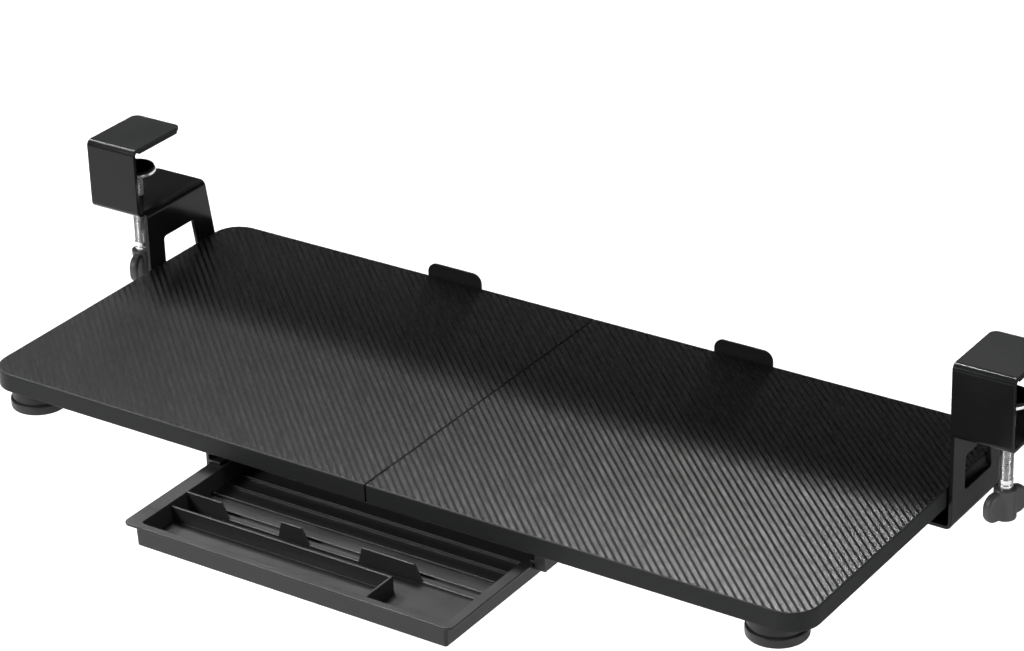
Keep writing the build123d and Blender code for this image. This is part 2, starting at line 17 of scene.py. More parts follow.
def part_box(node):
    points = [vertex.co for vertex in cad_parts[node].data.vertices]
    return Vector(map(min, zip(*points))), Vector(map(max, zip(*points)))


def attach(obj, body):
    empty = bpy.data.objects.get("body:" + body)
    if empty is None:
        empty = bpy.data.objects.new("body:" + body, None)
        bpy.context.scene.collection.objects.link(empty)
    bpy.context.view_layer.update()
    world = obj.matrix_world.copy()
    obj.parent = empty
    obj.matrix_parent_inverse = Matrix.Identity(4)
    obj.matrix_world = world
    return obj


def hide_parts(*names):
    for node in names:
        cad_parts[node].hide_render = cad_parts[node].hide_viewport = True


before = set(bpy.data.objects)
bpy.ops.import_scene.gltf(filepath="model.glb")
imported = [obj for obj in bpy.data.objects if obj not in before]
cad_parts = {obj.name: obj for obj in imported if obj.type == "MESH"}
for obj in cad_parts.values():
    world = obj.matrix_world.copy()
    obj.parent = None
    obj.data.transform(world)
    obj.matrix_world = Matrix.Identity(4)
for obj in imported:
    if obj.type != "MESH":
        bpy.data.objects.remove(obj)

LOG = logging.getLogger("tray")
MM = 0.001
MERGE_GAP = 0.002
FLAT_ANGLE = radians(0.3)
NOISE_LOW, NOISE_HIGH = 0.3, 0.7  # Most of a noise lies between these.
Point = tuple[float, float]
Color = tuple[float, float, float]
Number = "float | Value"


# Shader building

class Value:
    """A number that varies over a surface. Python operators on it add Math nodes."""

    def __init__(self, graph: "Graph", socket: bpy.types.NodeSocket) -> None:
        """Wraps an output socket of a graph's node."""
        self.graph = graph
        self.socket = socket

    def _math(self, operation: str, first: Number, second: Number = 0.0) -> "Value":
        """Adds one Math node.

        Args:
            operation: Blender's name of the operation.
            first: The first operand.
            second: The second operand, where the operation has one.

        Returns:
            The node's result.
        """
        node = self.graph.node("ShaderNodeMath", {"operation": operation}, {0: first, 1: second})
        return Value(self.graph, node.outputs[0])

    def __add__(self, other: Number) -> "Value":
        """Sum."""
        return self._math("ADD", self, other)

    def __radd__(self, other: float) -> "Value":
        """Sum with a number on the left."""
        return self._math("ADD", other, self)

    def __sub__(self, other: Number) -> "Value":
        """Difference."""
        return self._math("SUBTRACT", self, other)

    def __rsub__(self, other: float) -> "Value":
        """Difference with a number on the left."""
        return self._math("SUBTRACT", other, self)

    def __mul__(self, other: Number) -> "Value":
        """Product."""
        return self._math("MULTIPLY", self, other)

    def __rmul__(self, other: float) -> "Value":
        """Product with a number on the left."""
        return self._math("MULTIPLY", other, self)

    def __truediv__(self, other: Number) -> "Value":
        """Quotient."""
        return self._math("DIVIDE", self, other)

    def floor(self) -> "Value":
        """The whole number below."""
        return self._math("FLOOR", self)

    def fraction(self) -> "Value":
        """The part after the whole number below."""
        return self._math("FRACT", self)

    def size(self) -> "Value":
        """The value without its sign."""
        return self._math("ABSOLUTE", self)

    def smaller(self, other: Number) -> "Value":
        """The smaller of two."""
        return self._math("MINIMUM", self, other)

    def larger(self, other: Number) -> "Value":
        """The larger of two."""
        return self._math("MAXIMUM", self, other)

    def ramp(self, start: float, end: float, low: float = 0.0, high: float = 1.0) -> "Value":
        """A soft step.

        Args:
            start: Where the step begins.
            end: Where it ends.
            low: The result before start.
            high: The result after end.

        Returns:
            The stepped value.
        """
        settings = {"interpolation_type": "SMOOTHSTEP"}
        inputs = {"Value": self, "From Min": start, "From Max": end, "To Min": low, "To Max": high}
        return Value(self.graph, self.graph.node("ShaderNodeMapRange", settings, inputs).outputs[0])

    def spread(self, middle: float, below: float, above: float) -> "Value":
        """Noise as a value that runs from so far below a middle to so far above it."""
        return self.ramp(NOISE_LOW, NOISE_HIGH, middle - below, middle + above)


class Graph:
    """The node tree of one material."""

    def __init__(self, name: str) -> None:
        """Starts an empty material."""
        self.material = bpy.data.materials.new(name)
        self.material.use_nodes = True
        self.tree = self.material.node_tree
        self.tree.nodes.clear()
        self._coordinates: bpy.types.Node | None = None

    def node(self, kind: str, settings: dict | None = None, inputs: dict | None = None) -> bpy.types.Node:
        """Adds a node.

        Args:
            kind: The node's type.
            settings: Its properties, set first.
            inputs: Values or links of its sockets, by name or place.

        Returns:
            The new node.
        """
        node = self.tree.nodes.new(kind)
        for key, setting in (settings or {}).items():
            setattr(node, key, setting)
        for key, given in (inputs or {}).items():
            source = given.socket if isinstance(given, Value) else given
            if isinstance(source, bpy.types.NodeSocket):
                self.tree.links.new(source, node.inputs[key])
            else:
                node.inputs[key].default_value = source
        return node

    def place(self) -> bpy.types.NodeSocket:
        """Object coordinates, in metres."""
        if self._coordinates is None:
            self._coordinates = self.node("ShaderNodeTexCoord")
        return self._coordinates.outputs["Object"]

    def plan(self) -> tuple[Value, Value]:
        """The X and Y object coordinates in millimetres."""
        split = self.node("ShaderNodeSeparateXYZ", None, {0: self.place()}).outputs
        return Value(self, split["X"]) / MM, Value(self, split["Y"]) / MM

    def stretched(self, factors: Sequence[float]) -> bpy.types.NodeSocket:
        """Object coordinates scaled by axis."""
        return self.node("ShaderNodeMapping", None, {"Vector": self.place(), "Scale": factors}).outputs[0]

    def noise(self, grain: float, detail: float = 2.0, place: bpy.types.NodeSocket | None = None) -> Value:
        """Cloudy noise.

        Args:
            grain: Size of its features in millimetres.
            detail: Levels of finer noise in it.
            place: Coordinates other than the plain ones.

        Returns:
            A value round 0.5.
        """
        inputs = {"Vector": place or self.place(), "Scale": 1 / (grain * MM), "Detail": detail}
        return Value(self, self.node("ShaderNodeTexNoise", None, inputs).outputs["Fac"])

    def cells(self, grain: float) -> Value:
        """Distance to the nearest of many scattered points, in grain sizes."""
        inputs = {"Vector": self.place(), "Scale": 1 / (grain * MM)}
        return Value(self, self.node("ShaderNodeTexVoronoi", None, inputs).outputs["Distance"])

    def tint(self, share: Number, first: Color, second: Color) -> bpy.types.NodeSocket:
        """Mixes two colours.

        Args:
            share: 0 for the first colour, 1 for the second.
            first: The first colour.
            second: The second colour.

        Returns:
            The mixed colour's socket.
        """
        inputs = {0: share, 6: (*first, 1.0), 7: (*second, 1.0)}
        return self.node("ShaderNodeMix", {"data_type": "RGBA"}, inputs).outputs[2]

    def greys(self, share: Number, tone: float, darker: float, lighter: float,
              warmth: float = 0.0) -> bpy.types.NodeSocket:
        """Mixes two greys, given as shares of one tone."""
        return self.tint(share, grey(tone * darker, warmth), grey(tone * lighter, warmth))

    def bump(self, height: Value, depth: float, strength: float = 1.0) -> bpy.types.NodeSocket:
        """A normal from a height.

        Args:
            height: The height, 0 to 1.
            depth: What a height of 1 stands for, in millimetres.
            strength: The bump's share.

        Returns:
            The normal's socket.
        """
        inputs = {"Height": height, "Distance": depth * MM, "Strength": strength}
        return self.node("ShaderNodeBump", None, inputs).outputs[0]

    def finish(self, **inputs: object) -> bpy.types.Material:
        """Adds the surface shader.

        Args:
            **inputs: Its sockets by name, with underscores for spaces.

        Returns:
            The finished material.
        """
        named = {key.replace("_", " "): given for key, given in inputs.items()}
        surface = self.node("ShaderNodeBsdfPrincipled", None, named)
        self.node("ShaderNodeOutputMaterial", None, {"Surface": surface.outputs[0]})
        return self.material


def grey(tone: float, warmth: float = 0.0) -> Color:
    """A grey, with a little more red and less blue where warmth is above zero."""
    return tone * (1 + warmth), tone, tone * (1 - warmth)


# Finishes

@dataclass(frozen=True)
class PowderCoat:
    """Satin black powder coat: a fine orange-peel skin and faint cloudy sheen."""

    name: str = "powder_coat"
    tone: float = 0.0135
    roughness: float = 0.17
    peel_grain: float = 0.7
    peel_depth: float = 0.008
    gloss: float = 0.2

    def make(self) -> bpy.types.Material:
        """Builds the material."""
        graph = Graph(self.name)
        cloud = graph.noise(38.0, 3.0)
        peel = graph.noise(self.peel_grain, 2.0)
        speck = graph.noise(0.25, 1.0)
        tone = cloud * 0.5 + speck * 0.5
        return graph.finish(
            Base_Color=graph.greys(tone, self.tone, 0.8, 1.2, -0.03),
            Roughness=cloud.spread(self.roughness, 0.03, 0.04),
            Specular_IOR_Level=self.gloss,
            Normal=graph.bump(peel + speck * 0.4, self.peel_depth))


@dataclass(frozen=True)
class ZincPlate:
    """Bright zinc plate with fine drawing marks and a slight bloom."""

    name: str = "zinc_plate"
    tone: float = 0.84
    roughness: float = 0.28

    def make(self) -> bpy.types.Material:
        """Builds the material."""
        graph = Graph(self.name)
        bloom = graph.noise(9.0, 3.0)
        marks = graph.noise(0.5, 2.0, graph.stretched((1.0, 1.0, 0.15)))
        tone = bloom * 0.6 + marks * 0.4
        return graph.finish(
            Base_Color=graph.tint(tone, grey(self.tone * 0.86, 0.01), grey(self.tone * 1.08, -0.015)),
            Metallic=1.0,
            Roughness=(bloom + marks).ramp(0.7, 1.3, self.roughness - 0.06, self.roughness + 0.1),
            Normal=graph.bump(marks, 0.004))


@dataclass(frozen=True)
class TwillLaminate:
    """Carbon-look laminate: diagonal ribs of small yarn floats, glossy on top and dark between."""

    name: str = "twill_laminate"
    yarn_across: float = 1.424
    yarn_along: float = 1.336
    yarns: int = 5
    rib_yarns: int = 3
    rib_tone: float = 0.0145
    groove_tone: float = 0.0015
    gloss: float = 0.44
    gloss_roughness: float = 0.19
    base_roughness: float = 0.3
    strand: float = 0.48
    strand_depth: float = 0.098
    strand_way: tuple[float, float] = (0.586, 0.81)
    rib_softness: float = 0.05
    dot_start: float = 0.3
    dot_tone: float = 0.7
    haze_roughness: float = 0.04

    def make(self) -> bpy.types.Material:
        """Builds the material."""
        graph = Graph(self.name)
        x, y = graph.plan()
        across = x / self.yarn_across
        along = y / self.yarn_along
        phase = (across.floor() + along.floor()) / self.yarns
        edge = self.rib_yarns / self.yarns / 2
        from_rib = ((phase + (0.5 - 1 / self.yarns)).fraction() - 0.5).size()
        rib = from_rib.ramp(edge - self.rib_softness, edge + self.rib_softness, 1.0, 0.0)
        way_x, way_y = self.strand_way
        from_crest = ((x * way_x + y * way_y) / self.strand).fraction() - 0.5
        arch = (1.0 - from_crest * from_crest * 4.0) * rib
        floats = (across.fraction() - 0.5).size().larger((along.fraction() - 0.5).size())
        dots = floats.ramp(self.dot_start, 0.5, 1.0, self.dot_tone)
        haze = graph.noise(24.0, 3.0)
        fibre = graph.noise(0.16, 1.0, graph.stretched((1.0, 0.35, 1.0)))
        lit = rib * dots
        tone = (lit * (0.75 + fibre * 0.5)).smaller(1.0)
        polish = lit * (self.base_roughness - self.gloss_roughness)
        return graph.finish(
            Base_Color=graph.tint(tone, grey(self.groove_tone, -0.04), grey(self.rib_tone, -0.02)),
            Roughness=(self.base_roughness - polish) + (haze - 0.5) * self.haze_roughness,
            Specular_IOR_Level=self.gloss,
            Normal=graph.bump(arch, self.strand_depth))


@dataclass(frozen=True)
class EdgeBand:
    """Black edge band and backing laminate: low sheen with a faint long grain."""

    name: str = "edge_band"
    tone: float = 0.034
    roughness: float = 0.42
    gloss: float = 0.1

    def make(self) -> bpy.types.Material:
        """Builds the material."""
        graph = Graph(self.name)
        streaks = graph.noise(1.2, 3.0, graph.stretched((0.12, 0.12, 1.0)))
        pores = graph.noise(0.35, 2.0)
        tone = streaks * 0.6 + pores * 0.4
        return graph.finish(
            Base_Color=graph.greys(tone, self.tone, 0.75, 1.25, -0.02),
            Roughness=tone.spread(self.roughness, 0.05, 0.08),
            Specular_IOR_Level=self.gloss,
            Normal=graph.bump(pores, 0.008))


@dataclass(frozen=True)
class MouldedPlastic:
    """Injection moulding with a fine spark-eroded grain."""

    name: str = "moulded_plastic"
    tone: float = 0.035
    warmth: float = 0.0
    roughness: float = 0.5
    grain: float = 0.45
    grain_depth: float = 0.02
    gloss: float = 0.5

    def make(self) -> bpy.types.Material:
        """Builds the material."""
        graph = Graph(self.name)
        cloud = graph.noise(30.0, 2.0)
        pits = graph.cells(self.grain)
        speck = graph.noise(self.grain * 0.5, 2.0)
        tone = cloud * 0.4 + speck * 0.6
        return graph.finish(
            Base_Color=graph.greys(tone, self.tone, 0.82, 1.18, self.warmth),
            Roughness=tone.spread(self.roughness, 0.06, 0.07),
            Specular_IOR_Level=self.gloss,
            Normal=graph.bump(pits + speck * 0.5, self.grain_depth))


@dataclass(frozen=True)
class Rubber:
    """Matt moulded rubber with a dusty bloom."""

    name: str = "rubber"
    tone: float = 0.022
    roughness: float = 0.68
    gloss: float = 0.4

    def make(self) -> bpy.types.Material:
        """Builds the material."""
        graph = Graph(self.name)
        bloom = graph.noise(6.0, 4.0)
        skin = graph.noise(0.3, 3.0)
        return graph.finish(
            Base_Color=graph.greys(bloom, self.tone, 0.8, 1.35),
            Roughness=bloom.spread(self.roughness, 0.08, 0.08),
            Specular_IOR_Level=self.gloss,
            Normal=graph.bump(skin, 0.02))


@dataclass(frozen=True)
class BlackOxide:
    """Black oxide on small screws: dark metal that shines on its edges."""

    name: str = "black_oxide"
    tone: float = 0.09
    roughness: float = 0.36

    def make(self) -> bpy.types.Material:
        """Builds the material."""
        graph = Graph(self.name)
        stain = graph.noise(1.5, 3.0)
        return graph.finish(
            Base_Color=graph.tint(stain, grey(self.tone * 0.7, -0.02), grey(self.tone * 1.3, 0.02)),
            Metallic=0.85,
            Roughness=stain.spread(self.roughness, 0.06, 0.1),
            Normal=graph.bump(stain, 0.004))


@dataclass(frozen=True)
class Beech:
    """Plain beech with short flecks along the dowels."""

    name: str = "beech"
    pale: Color = (0.66, 0.47, 0.28)
    dark: Color = (0.48, 0.31, 0.17)

    def make(self) -> bpy.types.Material:
        """Builds the material."""
        graph = Graph(self.name)
        grain = graph.noise(1.6, 4.0, graph.stretched((0.08, 1.0, 1.0)))
        flecks = graph.noise(0.5, 2.0, graph.stretched((0.3, 1.0, 1.0))).ramp(0.6, 0.75)
        tone = (grain * 0.7 + flecks * 0.3).smaller(1.0)
        return graph.finish(
            Base_Color=graph.tint(tone, self.pale, self.dark),
            Roughness=grain.ramp(NOISE_LOW, NOISE_HIGH, 0.5, 0.62),
            Normal=graph.bump(grain, 0.02))


# Mesh building

class Axis(Enum):
    """The axis that a drawn face is stretched along."""

    X = 0
    Y = 1
    Z = 2

    def lift(self) -> Matrix:
        """The turn that takes a face in X and Y, stretched in Z, to this axis."""
        rows = {
            Axis.X: ((0, 0, 1), (1, 0, 0), (0, 1, 0)),
            Axis.Y: ((1, 0, 0), (0, 0, 1), (0, 1, 0)),
            Axis.Z: ((1, 0, 0), (0, 1, 0), (0, 0, 1)),
        }
        return Matrix(rows[self])


class Solid:
    """A closed mesh in the making, in millimetres."""

    def __init__(self) -> None:
        """Starts an empty mesh."""
        self.mesh = bmesh.new()

    @classmethod
    def copy_of(cls, node: str) -> "Solid":
        """A merged copy of a CAD node, with its flat faces whole again."""
        solid = cls()
        solid.mesh.from_mesh(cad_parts[node].data)
        solid.scaled((1 / MM, 1 / MM, 1 / MM))
        bmesh.ops.remove_doubles(solid.mesh, verts=solid.mesh.verts[:], dist=MERGE_GAP)
        return solid.flattened()

    @classmethod
    def block(cls, low: Sequence[float], high: Sequence[float]) -> "Solid":
        """A box between two corners."""
        solid = cls()
        bmesh.ops.create_cube(solid.mesh, size=1.0)
        solid.scaled([b - a for a, b in zip(low, high)])
        return solid.moved([(a + b) / 2 for a, b in zip(low, high)])

    @classmethod
    def prism(cls, points: Sequence[Point], start: float, end: float, axis: Axis = Axis.Z,
              radii: Sequence[float] = (), segments: int = 6) -> "Solid":
        """A face with rounded corners, stretched along an axis.

        Args:
            points: The face's corners in the two other axes, in X, Y, Z order.
            start: Where the stretch starts.
            end: Where it ends.
            axis: The axis of the stretch.
            radii: A radius for each corner, or nothing for sharp corners.
            segments: Faces round each rounded corner.

        Returns:
            The closed prism.
        """
        solid = cls()
        mesh = solid.mesh
        corners = [mesh.verts.new((u, v, start)) for u, v in points]
        mesh.faces.new(corners)
        for corner, radius in zip(corners, radii):
            if radius > 0:
                ways = [(edge.other_vert(corner).co - corner.co).normalized() for edge in corner.link_edges]
                opening = ways[0].angle(ways[1])
                reach = radius * cos(opening / 2) / sin(opening / 2)
                bmesh.ops.bevel(mesh, geom=[corner], offset=reach, affect="VERTICES", segments=segments,
                                profile=0.5, material=-1, clamp_overlap=False)
        pulled = bmesh.ops.extrude_face_region(mesh, geom=mesh.faces[:])["geom"]
        verts = [item for item in pulled if isinstance(item, bmesh.types.BMVert)]
        bmesh.ops.translate(mesh, vec=(0, 0, end - start), verts=verts)
        bmesh.ops.rotate(mesh, matrix=axis.lift(), verts=mesh.verts[:])
        return solid.closed()

    @classmethod
    def lathe(cls, points: Sequence[Point], steps: int = 64, looped: bool = False) -> "Solid":
        """A chain of (radius, height) points, turned about Z.

        Args:
            points: The chain, which starts and ends on the axis unless it is looped.
            steps: Faces round the axis.
            looped: Whether the last point joins the first, as in a ring.

        Returns:
            The closed solid.
        """
        solid = cls()
        mesh = solid.mesh
        chain = [mesh.verts.new((radius, 0, height)) for radius, height in points]
        pairs = list(zip(chain, chain[1:])) + ([(chain[-1], chain[0])] if looped else [])
        edges = [mesh.edges.new(pair) for pair in pairs]
        bmesh.ops.spin(mesh, geom=chain + edges, cent=(0, 0, 0), axis=(0, 0, 1), dvec=(0, 0, 0),
                       angle=2 * pi, steps=steps, use_merge=True, use_duplicate=False)
        bmesh.ops.remove_doubles(mesh, verts=mesh.verts[:], dist=0.0005)
        return solid.closed()

    def flattened(self) -> "Solid":
        """Makes split flat faces whole."""
        bmesh.ops.dissolve_limit(self.mesh, angle_limit=FLAT_ANGLE, verts=self.mesh.verts[:],
                                 edges=self.mesh.edges[:])
        return self

    def closed(self) -> "Solid":
        """Turns all faces outwards."""
        bmesh.ops.recalc_face_normals(self.mesh, faces=self.mesh.faces[:])
        return self

    def moved(self, way: Sequence[float]) -> "Solid":
        """Moves the whole mesh."""
        bmesh.ops.translate(self.mesh, vec=way, verts=self.mesh.verts[:])
        return self

    def scaled(self, factors: Sequence[float]) -> "Solid":
        """Scales the whole mesh."""
        bmesh.ops.scale(self.mesh, vec=factors, verts=self.mesh.verts[:])
        return self

    def turned(self, degrees: float) -> "Solid":
        """Turns the whole mesh about Z."""
        turn = Matrix.Rotation(radians(degrees), 3, "Z")
        bmesh.ops.rotate(self.mesh, matrix=turn, verts=self.mesh.verts[:])
        return self

    def set_on(self, node: str, height: float = 0.0) -> "Solid":
        """Moves the mesh from Z to the upright middle line of a CAD node, and up."""
        place = middle_of(node)
        return self.moved((place.x, place.y, height))

    def joined(self, other: "Solid") -> "Solid":
        """Takes in another mesh as it is."""
        carried = bpy.data.meshes.new("carried")
        other.mesh.to_mesh(carried)
        self.mesh.from_mesh(carried)
        bpy.data.meshes.remove(carried)
        return self

    def _as_object(self) -> bpy.types.Object:
        """A passing object that carries the mesh for a modifier."""
        data = bpy.data.meshes.new("passing")
        self.mesh.to_mesh(data)
        passing = bpy.data.objects.new("passing", data)
        bpy.context.scene.collection.objects.link(passing)
        return passing

    @staticmethod
    def _discard(passing: bpy.types.Object) -> None:
        """Removes a passing object and its mesh."""
        data = passing.data
        bpy.data.objects.remove(passing)
        bpy.data.meshes.remove(data)

    def _through(self, kind: str, settings: dict) -> "Solid":
        """Replaces the mesh by what a modifier makes of it."""
        passing = self._as_object()
        modifier = passing.modifiers.new("step", kind)
        for key, setting in settings.items():
            setattr(modifier, key, setting)
        made = bmesh.new()
        made.from_object(passing, bpy.context.evaluated_depsgraph_get())
        self.mesh.free()
        self.mesh = made
        self._discard(passing)
        return self

    def _combined(self, other: "Solid", operation: str) -> "Solid":
        """Combines with another mesh by an exact Boolean."""
        tool = other._as_object()
        self._through("BOOLEAN", {"operation": operation, "object": tool, "solver": "EXACT"})
        self._discard(tool)
        return self.flattened()

    def cut(self, other: "Solid") -> "Solid":
        """Takes another shape away."""
        return self._combined(other, "DIFFERENCE")

    def united(self, other: "Solid") -> "Solid":
        """Adds another shape."""
        return self._combined(other, "UNION")

    def kept_inside(self, other: "Solid") -> "Solid":
        """Keeps what lies in both shapes."""
        return self._combined(other, "INTERSECT")

    def remeshed(self, voxel: float) -> "Solid":
        """Rebuilds the skin from small cubes, which blends all corners."""
        return self._through("REMESH", {"mode": "VOXEL", "voxel_size": voxel, "adaptivity": 0.0})

    def smoothed(self, rounds: int) -> "Solid":
        """Relaxes the skin."""
        for _ in range(rounds):
            bmesh.ops.smooth_vert(self.mesh, verts=self.mesh.verts[:], factor=0.5, use_axis_x=True,
                                  use_axis_y=True, use_axis_z=True)
        return self

    def rounded(self, width: float, segments: int = 2, angle: float = 35.0,
                chosen: Callable[[bmesh.types.BMEdge], bool] | None = None) -> "Solid":
        """Rounds the sharp edges.

        Args:
            width: How far the round reaches from each edge.
            segments: Faces across the round.
            angle: Edges that turn by more than this, in degrees, are sharp.
            chosen: A test that the edges also pass, where given.

        Returns:
            The solid itself.
        """
        sharp = [edge for edge in self.mesh.edges
                 if edge.is_manifold and edge.calc_face_angle(0) > radians(angle)
                 and (chosen is None or chosen(edge))]
        bmesh.ops.bevel(self.mesh, geom=sharp, offset=width, affect="EDGES", segments=segments,
                        profile=0.5, material=-1, clamp_overlap=False)
        return self

    def islands(self) -> list[list[bmesh.types.BMVert]]:
        """The vertices of each separate piece."""
        left = set(self.mesh.verts)
        found = []
        while left:
            seed = left.pop()
            piece = [seed]
            for vert in piece:
                for edge in vert.link_edges:
                    other = edge.other_vert(vert)
                    if other in left:
                        left.remove(other)
                        piece.append(other)
            found.append(piece)
        return found


class Workshop:
    """Makes every finish once and puts finished pieces in the scene."""

    def __init__(self) -> None:
        """Makes the finishes, by their slots in the record."""
        self.finishes = {
            "painted_steel": PowderCoat().make(),
            "clamp_rubber": Rubber("clamp_rubber").make(),
            "zinc_steel": ZincPlate().make(),
            "knob_plastic": MouldedPlastic("knob_plastic", tone=0.075, roughness=0.44, grain=0.5,
                                           grain_depth=0.03).make(),
            "slide_steel": PowderCoat("slide_coat", tone=0.014, roughness=0.34, peel_grain=0.9,
                                      peel_depth=0.006).make(),
            "glide_plastic": MouldedPlastic("glide_plastic", tone=0.6, warmth=0.02, roughness=0.4, grain=0.6,
                                            grain_depth=0.01).make(),
            "carbon_look_board": TwillLaminate().make(),
            "plate_steel": PowderCoat("plate_coat", tone=0.014, roughness=0.4, peel_depth=0.012).make(),
            "foot_rubber": Rubber("foot_rubber", tone=0.026, roughness=0.5).make(),
            "drawer_plastic": MouldedPlastic("drawer_plastic", tone=0.028, roughness=0.32, grain=0.5,
                                             grain_depth=0.03, gloss=0.28).make(),
            "runner_plastic": MouldedPlastic("runner_plastic", tone=0.016, roughness=0.4, grain=0.5).make(),
            "dowel_wood": Beech().make(),
            "screw_steel": BlackOxide().make(),
        }
        self.edge_band = EdgeBand().make()

    def show(self, solid: Solid, name: str, body: str, slot: str, *replaced: str,
             second: bpy.types.Material | None = None, sharp: float = 38.0) -> None:
        """Turns a solid into a finished piece.

        Args:
            solid: The shape, which is used up.
            name: The piece's name.
            body: The CAD body that it moves with.
            slot: The record's material slot.
            *replaced: The CAD nodes that it stands for.
            second: A finish for the faces with material index 1.
            sharp: Edges that turn by more than this, in degrees, stay sharp.
        """
        solid.scaled((MM, MM, MM))
        data = bpy.data.meshes.new(name)
        solid.mesh.to_mesh(data)
        solid.mesh.free()
        data.shade_smooth()
        data.set_sharp_from_angle(angle=radians(sharp))
        data.materials.append(self.finishes[slot])
        if second is not None:
            data.materials.append(second)
        piece = bpy.data.objects.new(name, data)
        bpy.context.scene.collection.objects.link(piece)
        weights = piece.modifiers.new("weighted_normals", "WEIGHTED_NORMAL")
        weights.keep_sharp = True
        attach(piece, body)
        if replaced:
            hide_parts(*replaced)
        LOG.info("%s: %d faces, rides on %s", name, len(data.polygons), body)

    def ease(self, node: str, name: str, body: str, slot: str, width: float, segments: int = 2) -> None:
        """Shows a copy of a CAD node with its sharp edges rounded.

        Args:
            node: The CAD node.
            name: The finished piece's name.
            body: The CAD body that it moves with.
            slot: The record's material slot.
            width: How far each round reaches.
            segments: Faces across a round.
        """
        self.show(Solid.copy_of(node).rounded(width, segments), name, body, slot, node)

    def dress(self, node: str, slot: str) -> None:
        """Gives a CAD node that stays its finish."""
        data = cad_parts[node].data
        data.materials.clear()
        data.materials.append(self.finishes[slot])
        LOG.info("%s: keeps its CAD shape, dressed", node)


def middle_of(node: str) -> Vector:
    """The middle of a CAD node's box, in millimetres."""
    low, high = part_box(node)
    return (low + high) / (2 * MM)


def ends_of(node: str) -> tuple[Vector, Vector]:
    """The lowest and highest corners of a CAD node, in millimetres."""
    low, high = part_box(node)
    return low / MM, high / MM


# Sub-assemblies

class Side(Enum):
    """Which side of the tray a piece is on."""

    LEFT = -1
    RIGHT = 1

    def named(self, piece: str) -> str:
        """The piece's name with its side in front."""
        return f"{self.name.lower()}_{piece}"


@dataclass
class Sided:
    """A sub-assembly that stands once on each side."""

    side: Side

    def named(self, piece: str) -> str:
        """The piece's name with this side in front."""
        return self.side.named(piece)

    def heights(self, piece: str) -> tuple[float, float]:
        """The lowest and highest Z of this side's CAD node of a piece."""
        low, high = ends_of(self.named(piece))
        return low.z, high.z


@dataclass
class ClampBracket(Sided):
    """One bent steel bracket with the rubber under its top plate and the nut under its arm."""

    edge_round: float = 0.5
    kept_sharp: tuple[Point, Point] = ((351.9, 357.1), (-54.1, -48.9))
    pad_rib_pitch: float = 4.0
    pad_groove_width: float = 1.2
    pad_groove_depth: float = 0.8
    pad_border: float = 2.5
    nut_flats: float = 17.0
    nut_bore: float = 5.05
    nut_chamfer: float = 1.4
    nut_mouth: float = 0.9
    pad_round: float = 0.2

    def build(self, shop: Workshop) -> None:
        """Builds and shows the pieces."""
        named = self.named
        rows = ((self.bracket(), "bent_bracket", "painted_steel", "clamp_bracket"),
                (self.jaw_pad(), "ribbed_jaw_pad", "clamp_rubber", "jaw_pad"),
                (self.nut(), "weld_nut", "zinc_steel", "clamp_nut"))
        for solid, name, slot, node in rows:
            shop.show(solid, named(name), "desk_clamps", slot, named(node))

    def bracket(self) -> Solid:
        """The bracket with its sheet edges eased, save at the ends of the arm's tight bend."""
        (near, far), (low, high) = self.kept_sharp

        def plain(edge: bmesh.types.BMEdge) -> bool:
            """Whether an edge lies away from the tight bend."""
            return not all(near < abs(v.co.x) < far and low < v.co.z < high for v in edge.verts)

        return Solid.copy_of(self.named("clamp_bracket")).rounded(self.edge_round, 3, chosen=plain)

    def jaw_pad(self) -> Solid:
        """The pad with grip grooves across its underside."""
        node = self.named("jaw_pad")
        low, high = ends_of(node)
        pad = Solid.copy_of(node)
        grooves = Solid()
        half = self.pad_groove_width / 2
        y = low.y + self.pad_rib_pitch
        while y < high.y - self.pad_rib_pitch / 2:
            grooves.joined(Solid.block((low.x + self.pad_border, y - half, low.z - 1),
                                       (high.x - self.pad_border, y + half, low.z + self.pad_groove_depth)))
            y += self.pad_rib_pitch
        return pad.cut(grooves).rounded(self.pad_round)

    def nut(self) -> Solid:
        """A chamfered hexagon nut with a flared mouth."""
        bottom, top = self.heights("clamp_nut")
        corner = self.nut_flats / 2 / cos(pi / 6)
        height = top - bottom
        hexagon = [(corner * cos(pi / 3 * k), corner * sin(pi / 3 * k)) for k in range(6)]
        nut = Solid.prism(hexagon, 0, height)
        outside, past = corner + 0.3, height + 0.5
        cone = Solid.lathe([(0, -0.5), (corner - self.nut_chamfer, 0), (outside, self.nut_chamfer * 0.8),
                            (outside, past), (0, past)], 72)
        mouth = self.nut_bore + self.nut_mouth
        bore = Solid.lathe([(0, -1), (mouth, -1), (mouth, 0), (self.nut_bore, self.nut_mouth),
                            (self.nut_bore, height + 1), (0, height + 1)], 48)
        return nut.kept_inside(cone).cut(bore).set_on(self.named("clamp_screw"), bottom)


